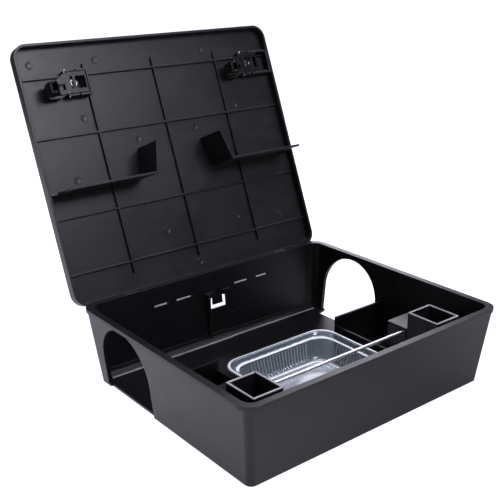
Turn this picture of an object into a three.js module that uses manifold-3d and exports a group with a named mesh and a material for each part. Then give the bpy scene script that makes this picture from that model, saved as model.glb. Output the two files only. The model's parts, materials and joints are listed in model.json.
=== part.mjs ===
// A rodent bait station: a drafted tub with two arched entrances, a lid that
// swings on two hinge pins along the rear rim, two sprung latches, a clear
// bait tray and a steel bait rod. Millimetres, +Z up, +X along the hinge,
// -Y towards the front, origin at the centre of the base's underside.
// The station is drawn with its lid open.

import * as THREE from 'three';
import { mergeVertices } from 'three/addons/utils/BufferGeometryUtils.js';
import Module from 'manifold-3d';

const wasm = await Module();
wasm.setup();

// ---- driving dimensions -------------------------------------------------

const GAP = 0.3; // clearance between pieces that touch
const THROUGH = 20; // how far a cutter runs past the wall it cuts

// tub, measured at the top of the rim
const TUB_WIDTH = 300;
const TUB_DEPTH = 252;
const TUB_HEIGHT = 76.4;
const DRAFT = Math.tan(THREE.MathUtils.degToRad(6));
const RIM_HEIGHT = 3.6;
const RIM_OVERHANG = 2.5;
const RIM_CORNER = 14;
const WALL_CORNER = 6.5; // the walls turn more sharply than the rim above them
const WALL = 4;
const FLOOR_TOP = 2.4;
const FLOOR_EDGE_LEFT = -137.5; // the floor stops here inside the entrances
const FLOOR_EDGE_RIGHT = 126.5;
const FLOOR_SPLAY_LEFT = 4; // how much the cut-back narrows away from the walls
const FLOOR_SPLAY_RIGHT = 6;
const COVE_STEP_X = 14; // the fillet along the rear wall changes radius here
const COVE_RADII = [7.5, 6];

// arched entrances in both side walls
const ARCH_CENTRE_Y = 60;
const ARCH_RADIUS = 39.5;
const ARCH_TOP = 71;

// vents, tongue and guide in the rear wall
const VENT_Z = 57;
const VENT_HEIGHT = 1.8;
const VENT_SPANS = [[-74, -57], [-47.5, -28], [26, 45.5], [55.5, 72.5]];
const TONGUE_X = 2.8;
const TONGUE_WIDTH = 12.4;
const TONGUE_BOTTOM = 36;
const TONGUE_TOP = 49;
const TONGUE_SLIT = 4.3;
const TONGUE_SKIN = 2; // the wall is thinned to this around the tongue
const HOOK_STEM = 8.4; // from the tongue's middle to the hook's stem
const HOOK_TIP = 14.8; // and to its outer end
const HOOK_THICK = 1.8;
const HOOK_TOP = 54.6;
const PIP_X = 23; // a small hole beside the tongue
const PIP_Z = 26;
const PIP_RADIUS = 0.9;
const GUIDE_X = -11.2;
const GUIDE_WIDTH = 2.4;
const GUIDE_TOP = 54;
const GUIDE_FRONT_Y = 110.5;

// walls inside the tub
const PARTITION_Y = 13;
const PARTITION_HEIGHT = 39.6;
const PARTITION_INNER_X = 74;
const LOW_WALL_HEIGHT = 30;
const PARTITION_THICK = 2.4;

// lock posts and rod holders; the right ones are the left ones moved along X
const POST_LEFT = -131;
const POST_WIDTH = 30.5;
const POST_REAR = -75;
const POST_DEPTH = 35;
const POST_TOP = 73;
const POST_WALL = 2;
const POST_PITCH = 211.5;
const HOLDER_DEPTH = 24;
const HOLDER_TOP = 56;
const HOLDER_WALL = 1.8;

// bait rod
const ROD_RADIUS = 1.5;
const ROD_Y = -71;
const ROD_Z = 51.8;
const ROD_LEFT = -109;
const ROD_LENGTH = 199;

// bait tray
const TRAY_SIZE = 131;
const TRAY_CENTRE_Y = -43;
const TRAY_CORNER = 18;
const TRAY_RIM_TOP = 29;
const TRAY_LIP = 3;
const TRAY_LEDGE_DROP = 4.5;
const TRAY_LEDGE = 4;
const TRAY_TAPER = 5;
const TRAY_SKIN = 1.2;
const TRAY_PLATEAU = 2;
const TRAY_PLATEAU_INSET = 12;
const TRAY_PLATEAU_CORNER = 12;

// hinge line along the rear rim, and how far the lid is drawn open
const HINGE_Y = 125.3;
const HINGE_Z = 73.2;
const HINGE_X = 95;
const LID_OPEN = THREE.MathUtils.degToRad(111.85);
const KNUCKLE_RADIUS = 2.8;
const KNUCKLE_HALF = 7.7;
const KNUCKLE_WEB = 1.6; // how far behind the hinge line its web reaches
const BOSS_RADIUS = 3.2;
const BOSS_LENGTH = 6;
const POCKET_HALF = 8;
const POCKET_FRONT = 121.5;
const POCKET_BOTTOM = 69;
const HINGE_PIN_RADIUS = 1.2;
const HEEL_REACH = 3.5;
const HEEL_HALF = 1.2;

// lid, in its closed place and measured from the hinge line: y runs
// backwards to the hinge, z runs up, and the plate's outer face is on top
const LID_HALF_WIDTH = 151.5;
const LID_REAR = -0.3;
const LID_FRONT = -254.8;
const LID_TOP = 14.6;
const LID_PLATE = 2.5;
const LID_SKIRT_BOTTOM = 3.5;
const LID_SKIRT = 2.5;
const LID_CORNER = 14;
const RIB_HEIGHT = 3;
const RIB_THICK = 1.8;
const CROSS_RIBS_Y = [-221.9, -163.7, -85.8, -31.4];
const LONG_RIBS_X = [-79.5, 0, 79.5];
const LONG_RIB_FRONT = -232.5;
const LONG_RIB_REAR = -20;

// baffles that hang from the lid
const BAFFLE_DEPTH = 40;
const BAFFLE_THICK = 2.2;
const BAFFLE_Y = -110.3;
const BAFFLE_OUTER_X = 138.8;
const BAFFLE_CORNER_X = 47;
const BAFFLE_TIP_X = 39;
const BAFFLE_TIP_Y = -141;

// latches, drawn for the left one; the right one is moved along X
const LATCH_PITCH = 214;
const LATCH_PIVOT_X = -104;
const LATCH_PIVOT_Z = 4.1;
const LATCH_REAR_Y = -202.8;
const LATCH_FRONT_Y = -223.6;
const LATCH_SHOULDER_X = -106; // the lever narrows from here to its nose
const LATCH_HOOK_REAR_Y = -202.8;
const LATCH_HOOK_FRONT_Y = -214;
const LATCH_HOOK_LENGTH = 14;
const LATCH_HOOK_WALL = 1.7;
const LATCH_TOE_REAR_Y = -199.6;
const LATCH_TOE_RELIEF = 1.8; // the toe clears the post's rear wall by this much more
const LATCH_NOSE_X = -128.4;
const LATCH_NOSE_RADIUS = 5;
const LATCH_TAIL_X = -83.6;
const LATCH_SLAB_TOP = 6.6;
const LATCH_SLAB_BOTTOM = 1.2;
const LATCH_NOSE_TIP = -11.4;
const LATCH_PIN_RADIUS = 1.2;
const LATCH_BARREL_RADIUS = 2.6;
const LATCH_WINDOW_X = [-101.2, -85.2];
const LATCH_WINDOW_Y = [-219.2, -207.2];
const LATCH_SCOOP_X = [-116.5, -108];
const LATCH_SCOOP_INSET = 4;
const LATCH_SKIN = 2.4;
const BRACKET_CHEEK = 2;
const BRACKET_BOTTOM = 1.4;
const BRACKET_GAP = 0.5;
const BRACKET_STEP_X = 142; // outside this the bracket clears the tub's rim
const BRACKET_LEFT_X = -105;
const BRACKET_BRIDGE = 1.8;
const BRACKET_ENDS_X = [-80.7, 148.7];
const BRACKET_SLOT_X = -94; // a slot splits each cheek's free edge
const BRACKET_SLOT_HALF = 0.9;
const BRACKET_SLOT_TOP = 6;
const SPRING_X = -97.2;
const SPRING_Y = -213.2;
const SPRING_RADIUS = 3.2;
const SPRING_WIRE = 0.5;
const SPRING_TURNS = 5;
const SPRING_SEAT_HALF = 1.2;
const SPRING_SEAT_THICK = 1.4;
const KEYHOLE_X = -112;
const KEYHOLE_Y = -209;
const KEYHOLE_HALF = 2;
const KEYHOLE_LENGTH = 8;

const ARC_STEPS = 10; // segments in a quarter circle

// ---- solids ---------------------------------------------------------------

function toSolid(geometry) {
  const bare = geometry.clone();
  bare.deleteAttribute('normal');
  bare.deleteAttribute('uv');
  const merged = mergeVertices(bare, 1e-4);
  return new wasm.Manifold(new wasm.Mesh({
    numProp: 3,
    vertProperties: new Float32Array(merged.attributes.position.array),
    triVerts: new Uint32Array(merged.index.array),
  }));
}

function toGeometry(solid) {
  const mesh = solid.getMesh();
  const geometry = new THREE.BufferGeometry();
  geometry.setAttribute('position', new THREE.BufferAttribute(mesh.vertProperties, 3));
  geometry.setIndex(new THREE.BufferAttribute(mesh.triVerts, 1));
  geometry.computeVertexNormals();
  return geometry;
}

function join(first, ...others) {
  return others.reduce((solid, other) => solid.add(other), first);
}

function cut(first, ...others) {
  return others.reduce((solid, other) => solid.subtract(other), first);
}

// a box from its lowest and highest corners
function box(low, high) {
  const size = high.map((value, axis) => value - low[axis]);
  const geometry = new THREE.BoxGeometry(...size);
  geometry.translate(...low.map((value, axis) => value + size[axis] / 2));
  return toSolid(geometry);
}

// a round bar along X or Y between two stations
function barAlongX(x0, x1, y, z, radius, sides = 24) {
  const geometry = new THREE.CylinderGeometry(radius, radius, x1 - x0, sides);
  geometry.rotateZ(Math.PI / 2);
  geometry.translate((x0 + x1) / 2, y, z);
  return toSolid(geometry);
}

function barAlongY(y0, y1, x, z, radius, sides = 24) {
  const geometry = new THREE.CylinderGeometry(radius, radius, y1 - y0, sides);
  geometry.translate(x, (y0 + y1) / 2, z);
  return toSolid(geometry);
}

function polygon(points) {
  return new THREE.Shape(points.map(([x, y]) => new THREE.Vector2(x, y)));
}

function roundedRectangle(x0, x1, y0, y1, radius) {
  const shape = new THREE.Shape();
  shape.moveTo(x0 + radius, y0);
  shape.lineTo(x1 - radius, y0);
  shape.absarc(x1 - radius, y0 + radius, radius, -Math.PI / 2, 0);
  shape.lineTo(x1, y1 - radius);
  shape.absarc(x1 - radius, y1 - radius, radius, 0, Math.PI / 2);
  shape.lineTo(x0 + radius, y1);
  shape.absarc(x0 + radius, y1 - radius, radius, Math.PI / 2, Math.PI);
  shape.lineTo(x0, y0 + radius);
  shape.absarc(x0 + radius, y0 + radius, radius, Math.PI, 1.5 * Math.PI);
  return shape;
}

// an outline in the XY plane, extruded from z0 to z1
function prismZ(shape, z0, z1) {
  const geometry = new THREE.ExtrudeGeometry(shape, {
    depth: z1 - z0,
    bevelEnabled: false,
    curveSegments: ARC_STEPS,
  });
  geometry.translate(0, 0, z0);
  return toSolid(geometry);
}

// an outline in the YZ plane, extruded from x0 to x1
function prismX(shape, x0, x1) {
  const geometry = new THREE.ExtrudeGeometry(shape, {
    depth: x1 - x0,
    bevelEnabled: false,
    curveSegments: 2 * ARC_STEPS,
  });
  geometry.rotateX(Math.PI / 2);
  geometry.rotateZ(Math.PI / 2);
  geometry.translate(x0, 0, 0);
  return toSolid(geometry);
}

// an outline in the XZ plane, extruded from y0 to y1
function prismY(shape, y0, y1) {
  const geometry = new THREE.ExtrudeGeometry(shape, {
    depth: y1 - y0,
    bevelEnabled: false,
    curveSegments: ARC_STEPS,
  });
  geometry.rotateX(Math.PI / 2);
  geometry.translate(0, y1, 0);
  return toSolid(geometry);
}

// A rounded block whose four sides lean in towards the bottom. The half
// sizes and the corner radius are those at the height topZ.
function draftedBlock(halfX, halfY, radius, z0, z1, topZ, centreY = 0, slope = DRAFT) {
  const shape = roundedRectangle(-halfX, halfX, -halfY, halfY, radius);
  const geometry = new THREE.ExtrudeGeometry(shape, {
    depth: z1 - z0,
    bevelEnabled: false,
    curveSegments: ARC_STEPS,
  });
  geometry.translate(0, 0, z0);
  const position = geometry.attributes.position;
  for (let i = 0; i < position.count; i += 1) {
    const inset = (topZ - position.getZ(i)) * slope;
    position.setX(i, position.getX(i) - Math.sign(position.getX(i)) * inset);
    position.setY(i, position.getY(i) - Math.sign(position.getY(i)) * inset + centreY);
  }
  return toSolid(geometry);
}

// ---- tub ------------------------------------------------------------------

const CAVITY_HALF_X = TUB_WIDTH / 2 - RIM_OVERHANG - WALL;
const CAVITY_HALF_Y = TUB_DEPTH / 2 - RIM_OVERHANG - WALL;
const CAVITY_CORNER = RIM_CORNER - RIM_OVERHANG - WALL + 2;

// half sizes of the cavity at a height
const cavityX = (z) => CAVITY_HALF_X - (TUB_HEIGHT - z) * DRAFT;
const cavityY = (z) => CAVITY_HALF_Y - (TUB_HEIGHT - z) * DRAFT;

function tubWalls() {
  const rimBottom = TUB_HEIGHT - RIM_HEIGHT;
  const outerX = TUB_WIDTH / 2 - RIM_OVERHANG;
  const outerY = TUB_DEPTH / 2 - RIM_OVERHANG;
  const wall = draftedBlock(outerX, outerY, WALL_CORNER, 0, TUB_HEIGHT - 1, TUB_HEIGHT);
  const rim = prismZ(
    roundedRectangle(-TUB_WIDTH / 2, TUB_WIDTH / 2, -TUB_DEPTH / 2, TUB_DEPTH / 2, RIM_CORNER),
    rimBottom,
    TUB_HEIGHT,
  );
  const cavity = draftedBlock(
    CAVITY_HALF_X,
    CAVITY_HALF_Y,
    CAVITY_CORNER,
    -1,
    TUB_HEIGHT + 1,
    TUB_HEIGHT,
  );
  return cut(join(wall, rim), cavity);
}

// one cutter along X makes the entrances in both side walls
function archCutter() {
  const springline = ARCH_TOP - ARCH_RADIUS;
  const shape = new THREE.Shape();
  shape.moveTo(ARCH_CENTRE_Y - ARCH_RADIUS, -1);
  shape.lineTo(ARCH_CENTRE_Y + ARCH_RADIUS, -1);
  shape.lineTo(ARCH_CENTRE_Y + ARCH_RADIUS, springline);
  shape.absarc(ARCH_CENTRE_Y, springline, ARCH_RADIUS, 0, Math.PI);
  shape.lineTo(ARCH_CENTRE_Y - ARCH_RADIUS, -1);
  return prismX(shape, -TUB_WIDTH / 2 - THROUGH, TUB_WIDTH / 2 + THROUGH);
}

// the floor fills the walls' foot, and stops short inside each entrance
function floorSlab() {
  const outerX = TUB_WIDTH / 2 - RIM_OVERHANG;
  const outerY = TUB_DEPTH / 2 - RIM_OVERHANG;
  const slab = draftedBlock(outerX, outerY, WALL_CORNER, 0, FLOOR_TOP, TUB_HEIGHT);
  const y0 = ARCH_CENTRE_Y - ARCH_RADIUS;
  const y1 = ARCH_CENTRE_Y + ARCH_RADIUS;
  const left = polygon([
    [-TUB_WIDTH, y0],
    [FLOOR_EDGE_LEFT, y0],
    [FLOOR_EDGE_LEFT, y1 - FLOOR_SPLAY_LEFT],
    [-outerX, y1],
    [-TUB_WIDTH, y1],
  ]);
  const right = polygon([
    [TUB_WIDTH, y0],
    [FLOOR_EDGE_RIGHT, y0],
    [FLOOR_EDGE_RIGHT, y1 - FLOOR_SPLAY_RIGHT],
    [outerX, y1],
    [TUB_WIDTH, y1],
  ]);
  return cut(slab, prismZ(left, -1, FLOOR_TOP + 1), prismZ(right, -1, FLOOR_TOP + 1));
}

// the rounded foot of the rear wall, along the tunnel
function rearCove(x0, x1, radius) {
  const wallY = cavityY(FLOOR_TOP) + 1;
  const centreY = wallY - 1 - radius;
  const centreZ = FLOOR_TOP + radius;
  const shape = new THREE.Shape();
  shape.moveTo(centreY, FLOOR_TOP - 1);
  shape.lineTo(wallY, FLOOR_TOP - 1);
  shape.lineTo(wallY, centreZ);
  shape.absarc(centreY, centreZ, radius, 0, -Math.PI / 2, true);
  return prismX(shape, x0, x1);
}

function ventCutters() {
  return VENT_SPANS.map(([x0, x1]) => box(
    [x0, cavityY(VENT_Z) - THROUGH, VENT_Z - VENT_HEIGHT / 2],
    [x1, TUB_DEPTH / 2 + THROUGH, VENT_Z + VENT_HEIGHT / 2],
  ));
}

// a U-shaped slit leaves a springy tongue in the rear wall
function tongueCutter() {
  const x0 = TONGUE_X - TONGUE_WIDTH / 2 - TONGUE_SLIT;
  const x1 = TONGUE_X + TONGUE_WIDTH / 2 + TONGUE_SLIT;
  const y0 = cavityY(TONGUE_BOTTOM) - THROUGH;
  const y1 = TUB_DEPTH / 2 + THROUGH;
  const outer = box([x0, y0, TONGUE_BOTTOM], [x1, y1, TONGUE_TOP]);
  const inner = box(
    [x0 + TONGUE_SLIT, y0 - 1, TONGUE_BOTTOM + TONGUE_SLIT],
    [x1 - TONGUE_SLIT, y1 + 1, TONGUE_TOP + 1],
  );
  return cut(outer, inner);
}

// a shallow pocket outside the wall, where it is thinned round the tongue
function tonguePocket() {
  const margin = 4;
  const half = TONGUE_WIDTH / 2 + TONGUE_SLIT + margin;
  const z0 = TONGUE_BOTTOM - margin;
  const z1 = HOOK_TOP + margin;
  const inner = (z) => cavityY(z) + TONGUE_SKIN;
  const outer = TUB_DEPTH / 2 + 1;
  const shape = polygon([[inner(z0), z0], [outer, z0], [outer, z1], [inner(z1), z1]]);
  return prismX(shape, TONGUE_X - half, TONGUE_X + half);
}

// a tall guide rib, and two hooks that reach out above the tongue's slit
function rearGuide() {
  const wallY = cavityY(TONGUE_TOP) + 1.5;
  const hookY = cavityY(TONGUE_TOP) - 2.2;
  const profile = polygon([
    [GUIDE_FRONT_Y, FLOOR_TOP - 1],
    [cavityY(FLOOR_TOP - 1) + 1, FLOOR_TOP - 1],
    [cavityY(GUIDE_TOP) + 1, GUIDE_TOP],
    [GUIDE_FRONT_Y, GUIDE_TOP],
  ]);
  const guide = prismX(profile, GUIDE_X - GUIDE_WIDTH / 2, GUIDE_X + GUIDE_WIDTH / 2);
  const parts = [-1, 1].map((side) => {
    const stem = TONGUE_X + side * HOOK_STEM;
    const tip = TONGUE_X + side * HOOK_TIP;
    const [x0, x1] = [Math.min(stem, tip), Math.max(stem, tip)];
    return join(
      box([stem - HOOK_THICK, hookY + 0.6, TONGUE_TOP - 0.5], [stem + HOOK_THICK, wallY, HOOK_TOP]),
      box([x0, hookY, HOOK_TOP - HOOK_THICK], [x1, wallY, HOOK_TOP]),
    );
  });
  return join(guide, ...parts);
}

function hingeBosses() {
  return [-HINGE_X, HINGE_X].map((x) => barAlongX(
    x - POCKET_HALF - BOSS_LENGTH,
    x + POCKET_HALF + BOSS_LENGTH,
    HINGE_Y,
    HINGE_Z,
    BOSS_RADIUS,
  ));
}

function hingePockets() {
  const reach = POCKET_HALF + BOSS_LENGTH;
  return [-HINGE_X, HINGE_X].map((x) => join(
    box(
      [x - POCKET_HALF, POCKET_FRONT, POCKET_BOTTOM],
      [x + POCKET_HALF, HINGE_Y + THROUGH, TUB_HEIGHT + 1],
    ),
    barAlongX(x - reach - 1, x + reach + 1, HINGE_Y, HINGE_Z, HINGE_PIN_RADIUS + GAP),
  ));
}

function makeTub() {
  const shell = cut(tubWalls(), archCutter());
  const coveEnd = cavityX(FLOOR_TOP) - 4;
  const coves = [
    rearCove(-coveEnd, COVE_STEP_X, COVE_RADII[0]),
    rearCove(COVE_STEP_X, coveEnd, COVE_RADII[1]),
  ];
  const body = join(shell, floorSlab(), ...coves, rearGuide(), ...hingeBosses());
  const pip = barAlongY(
    cavityY(PIP_Z) - THROUGH,
    TUB_DEPTH / 2 + THROUGH,
    PIP_X,
    PIP_Z,
    PIP_RADIUS,
    12,
  );
  return cut(body, ...ventCutters(), tonguePocket(), tongueCutter(), pip, ...hingePockets());
}

// ---- walls, posts and holders in the tub ------------------------------------

// side is -1 for the left and 1 for the right
function makePartition(side) {
  const foot = FLOOR_TOP + GAP;
  const tall = polygon([
    [side * PARTITION_INNER_X, foot],
    [side * (cavityX(foot) - GAP), foot],
    [side * (cavityX(PARTITION_HEIGHT) - GAP), PARTITION_HEIGHT],
    [side * PARTITION_INNER_X, PARTITION_HEIGHT],
  ]);
  const halfThick = PARTITION_THICK / 2;
  const low = polygon([
    [PARTITION_Y + halfThick, foot],
    [-(cavityY(foot) - GAP), foot],
    [-(cavityY(LOW_WALL_HEIGHT) - GAP), LOW_WALL_HEIGHT],
    [PARTITION_Y + halfThick, LOW_WALL_HEIGHT],
  ]);
  const x = side * PARTITION_INNER_X;
  return join(
    prismY(tall, PARTITION_Y - halfThick, PARTITION_Y + halfThick),
    prismX(low, Math.min(x, x + side * PARTITION_THICK), Math.max(x, x + side * PARTITION_THICK)),
  );
}

function makePost(offsetX) {
  const x0 = POST_LEFT + offsetX;
  const y0 = POST_REAR - POST_DEPTH;
  const foot = FLOOR_TOP + GAP;
  const outer = prismZ(roundedRectangle(x0, x0 + POST_WIDTH, y0, POST_REAR, 1), foot, POST_TOP);
  const inner = box(
    [x0 + POST_WALL, y0 + POST_WALL, foot + POST_WALL],
    [x0 + POST_WIDTH - POST_WALL, POST_REAR - POST_WALL, POST_TOP + 1],
  );
  return cut(outer, inner);
}

// an open-bottomed box behind each post; the rod goes in through its inner side
function makeRodHolder(offsetX) {
  const x0 = POST_LEFT + offsetX;
  const x1 = x0 + POST_WIDTH;
  const y0 = POST_REAR + GAP;
  const y1 = y0 + HOLDER_DEPTH;
  const foot = FLOOR_TOP + GAP;
  const outer = prismZ(roundedRectangle(x0, x1, y0, y1, 1), foot, HOLDER_TOP);
  const inner = box(
    [x0 + HOLDER_WALL, y0 + HOLDER_WALL, foot - 1],
    [x1 - HOLDER_WALL, y1 - HOLDER_WALL, HOLDER_TOP - HOLDER_WALL],
  );
  const innerSide = offsetX > 0 ? x0 : x1;
  const reach = HOLDER_WALL + 1;
  const hole = barAlongX(innerSide - reach, innerSide + reach, ROD_Y, ROD_Z, ROD_RADIUS + GAP);
  return cut(outer, inner, hole);
}

function makeRod() {
  const halfLength = ROD_LENGTH / 2;
  const tip = 0.4;
  const profile = [
    [0, -halfLength],
    [ROD_RADIUS - tip, -halfLength],
    [ROD_RADIUS, -halfLength + tip],
    [ROD_RADIUS, halfLength - tip],
    [ROD_RADIUS - tip, halfLength],
    [0, halfLength],
  ].map(([radius, along]) => new THREE.Vector2(radius, along));
  const geometry = new THREE.LatheGeometry(profile, 24);
  geometry.rotateZ(Math.PI / 2);
  return toSolid(geometry);
}

// ---- tray -------------------------------------------------------------------

function trayBlock(inset, z0, z1, topZ, slope) {
  const half = TRAY_SIZE / 2 - inset;
  return draftedBlock(half, half, TRAY_CORNER - inset / 2, z0, z1, topZ, 0, slope);
}

// outer surface of the tray grown inwards by a skin, from its bottom to its rim
function trayStack(skin) {
  const foot = FLOOR_TOP + GAP + skin;
  const ledgeZ = TRAY_RIM_TOP - TRAY_LEDGE_DROP + skin;
  const slope = TRAY_TAPER / (ledgeZ - foot);
  const open = skin > 0 ? 1 : 0;
  return join(
    trayBlock(TRAY_LIP + skin, ledgeZ, TRAY_RIM_TOP + open, TRAY_RIM_TOP, 0),
    trayBlock(TRAY_LIP + TRAY_LEDGE + skin, foot, ledgeZ + 0.5, ledgeZ, slope),
  );
}

function makeTray() {
  const lip = trayBlock(0, TRAY_RIM_TOP - TRAY_SKIN, TRAY_RIM_TOP, TRAY_RIM_TOP, 0);
  const plateauHalf = TRAY_SIZE / 2 - TRAY_LIP - TRAY_LEDGE - TRAY_TAPER - TRAY_PLATEAU_INSET;
  const foot = FLOOR_TOP + GAP;
  const plateau = (grow, z0, z1) => {
    const half = plateauHalf + grow;
    return draftedBlock(half, half, TRAY_PLATEAU_CORNER, z0, z1, z1, 0, 0);
  };
  const inside = cut(
    trayStack(TRAY_SKIN),
    plateau(TRAY_SKIN, foot, foot + TRAY_SKIN + TRAY_PLATEAU),
  );
  const underside = plateau(0, foot - 1, foot + TRAY_PLATEAU);
  return cut(join(trayStack(0), lip), inside, underside);
}

// ---- lid, in its closed place with the hinge line at the origin ---------------

const LID_INNER = LID_TOP - LID_PLATE;
const RIB_BOTTOM = LID_INNER - RIB_HEIGHT;

function lidOutline(inset) {
  return roundedRectangle(
    -LID_HALF_WIDTH + inset,
    LID_HALF_WIDTH - inset,
    LID_FRONT + inset,
    LID_REAR - inset,
    LID_CORNER - inset,
  );
}

// the plate's top edge is rounded by a bevel
function lidShell() {
  const bevel = 2;
  const geometry = new THREE.ExtrudeGeometry(lidOutline(bevel), {
    depth: LID_TOP - LID_SKIRT_BOTTOM - 2 * bevel,
    bevelSize: bevel,
    bevelThickness: bevel,
    bevelSegments: 3,
    curveSegments: ARC_STEPS,
  });
  geometry.translate(0, 0, LID_SKIRT_BOTTOM + bevel);
  const straightSides = prismZ(lidOutline(0), LID_SKIRT_BOTTOM, LID_SKIRT_BOTTOM + 2 * bevel);
  const hollow = prismZ(lidOutline(LID_SKIRT), LID_SKIRT_BOTTOM - 1, LID_INNER);
  return cut(join(toSolid(geometry), straightSides), hollow);
}

function ribs() {
  const half = RIB_THICK / 2;
  const reach = LID_HALF_WIDTH - LID_SKIRT / 2;
  const across = CROSS_RIBS_Y.map((y) => box(
    [-reach, y - half, RIB_BOTTOM],
    [reach, y + half, LID_INNER + 1],
  ));
  const along = LONG_RIBS_X.map((x) => box(
    [x - half, LONG_RIB_FRONT, RIB_BOTTOM],
    [x + half, LONG_RIB_REAR, LID_INNER + 1],
  ));
  return [...across, ...along];
}

// A round knuckle on the hinge line. Its heel points down and back when the
// lid is shut, and meets the pocket's front face when the lid is fully open.
function knuckle(x) {
  const stop = new THREE.BoxGeometry(2 * KNUCKLE_HALF, HEEL_REACH, 2 * HEEL_HALF);
  stop.translate(0, -HEEL_REACH / 2, 0);
  stop.rotateX(LID_OPEN);
  stop.translate(x, 0, 0);
  return join(
    barAlongX(x - KNUCKLE_HALF, x + KNUCKLE_HALF, 0, 0, KNUCKLE_RADIUS),
    box(
      [x - KNUCKLE_HALF, LID_REAR - LID_SKIRT, 0],
      [x + KNUCKLE_HALF, KNUCKLE_WEB, LID_SKIRT_BOTTOM + KNUCKLE_RADIUS],
    ),
    toSolid(stop),
  );
}

function makeLid() {
  const bore = HINGE_PIN_RADIUS + GAP;
  const bores = [-HINGE_X, HINGE_X].map((x) => barAlongX(
    x - KNUCKLE_HALF - 1,
    x + KNUCKLE_HALF + 1,
    0,
    0,
    bore,
  ));
  const keyholes = [0, LATCH_PITCH].map((shift) => box(
    [KEYHOLE_X - KEYHOLE_HALF + shift, KEYHOLE_Y - KEYHOLE_LENGTH / 2, LID_INNER - 1],
    [KEYHOLE_X + KEYHOLE_HALF + shift, KEYHOLE_Y + KEYHOLE_LENGTH / 2, LID_TOP + 1],
  ));
  const body = join(lidShell(), ...ribs(), knuckle(-HINGE_X), knuckle(HINGE_X));
  return cut(body, ...bores, ...keyholes);
}

// a long plate with a short leg turned towards the front
function makeBaffle(side) {
  const top = LID_INNER - GAP;
  const bottom = LID_TOP - BAFFLE_DEPTH;
  const half = BAFFLE_THICK / 2;
  const leg = new THREE.Vector2(BAFFLE_TIP_X - BAFFLE_CORNER_X, BAFFLE_TIP_Y - BAFFLE_Y);
  const normal = new THREE.Vector2(-leg.y, leg.x).normalize().multiplyScalar(half);
  const rimX = BAFFLE_OUTER_X + (LID_SKIRT_BOTTOM - bottom) * DRAFT;
  const skirtX = LID_HALF_WIDTH - LID_SKIRT - 2 * GAP;
  const plateShape = polygon([
    [side * BAFFLE_CORNER_X, bottom],
    [side * BAFFLE_OUTER_X, bottom],
    [side * rimX, LID_SKIRT_BOTTOM],
    [side * skirtX, LID_SKIRT_BOTTOM + 1],
    [side * skirtX, top],
    [side * BAFFLE_CORNER_X, top],
  ]);
  const plate = prismY(plateShape, BAFFLE_Y - half, BAFFLE_Y + half);
  const legShape = polygon([
    [side * (BAFFLE_CORNER_X + normal.x), BAFFLE_Y + half],
    [side * (BAFFLE_CORNER_X - normal.x), BAFFLE_Y + half],
    [side * (BAFFLE_TIP_X - normal.x), BAFFLE_TIP_Y - normal.y],
    [side * (BAFFLE_TIP_X + normal.x), BAFFLE_TIP_Y + normal.y],
  ]);
  const rib = RIB_THICK / 2 + GAP;
  const ribX = side * LONG_RIBS_X[2];
  const notch = box([ribX - rib, BAFFLE_Y - 3, RIB_BOTTOM - GAP], [ribX + rib, BAFFLE_Y + 3, top + 1]);
  return cut(join(plate, prismZ(legShape, bottom, top)), notch);
}

// ---- latches ------------------------------------------------------------------

// two cheeks joined by a bridge beside the rib or the skirt
function makeBracket(shift, endX) {
  const x0 = BRACKET_LEFT_X + shift;
  const rear = LATCH_REAR_Y + BRACKET_GAP;
  const front = LATCH_FRONT_Y - BRACKET_GAP;
  const beyond = BRACKET_CHEEK + 3;
  const top = LID_INNER - GAP;
  const pivotX = LATCH_PIVOT_X + shift;
  const slotX = BRACKET_SLOT_X + shift;
  const cheek = (y0) => box([x0, y0, BRACKET_BOTTOM], [endX, y0 + BRACKET_CHEEK, top]);
  const bridge = box(
    [endX - BRACKET_BRIDGE, front - BRACKET_CHEEK, BRACKET_BOTTOM],
    [endX, rear + BRACKET_CHEEK, RIB_BOTTOM - GAP],
  );
  const bore = barAlongY(front - beyond, rear + beyond, pivotX, LATCH_PIVOT_Z, LATCH_PIN_RADIUS + GAP);
  const slot = box(
    [slotX - BRACKET_SLOT_HALF, front - beyond, BRACKET_BOTTOM - 1],
    [slotX + BRACKET_SLOT_HALF, rear + beyond, BRACKET_SLOT_TOP],
  );
  const rimRoom = box(
    [BRACKET_STEP_X, front - beyond, BRACKET_BOTTOM - 1],
    [endX + 1, rear + beyond, LID_SKIRT_BOTTOM + GAP],
  );
  return cut(join(cheek(rear), cheek(front - BRACKET_CHEEK), bridge), bore, slot, rimRoom);
}

function makeLatchPin(shift) {
  const overhang = BRACKET_GAP + BRACKET_CHEEK + 0.6;
  return barAlongY(
    LATCH_FRONT_Y - overhang,
    LATCH_REAR_Y + overhang,
    LATCH_PIVOT_X + shift,
    LATCH_PIVOT_Z,
    LATCH_PIN_RADIUS,
  );
}

// plan outline of the lever: full width at the pivot, narrowing to the nose
function leverOutline() {
  const r = LATCH_NOSE_RADIUS;
  const shape = new THREE.Shape();
  shape.moveTo(LATCH_TAIL_X, LATCH_REAR_Y);
  shape.lineTo(LATCH_TAIL_X, LATCH_FRONT_Y);
  shape.lineTo(LATCH_SHOULDER_X, LATCH_FRONT_Y);
  shape.lineTo(LATCH_NOSE_X + 11, LATCH_HOOK_FRONT_Y - 2.5);
  shape.lineTo(LATCH_NOSE_X + r, LATCH_HOOK_FRONT_Y);
  shape.absarc(LATCH_NOSE_X + r, LATCH_HOOK_FRONT_Y + r, r, 1.5 * Math.PI, Math.PI, true);
  shape.lineTo(LATCH_NOSE_X, LATCH_TOE_REAR_Y - r);
  shape.absarc(LATCH_NOSE_X + r, LATCH_TOE_REAR_Y - r, r, Math.PI, Math.PI / 2, true);
  shape.lineTo(LATCH_NOSE_X + 15, LATCH_TOE_REAR_Y);
  shape.lineTo(LATCH_SHOULDER_X, LATCH_REAR_Y);
  return shape;
}

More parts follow.
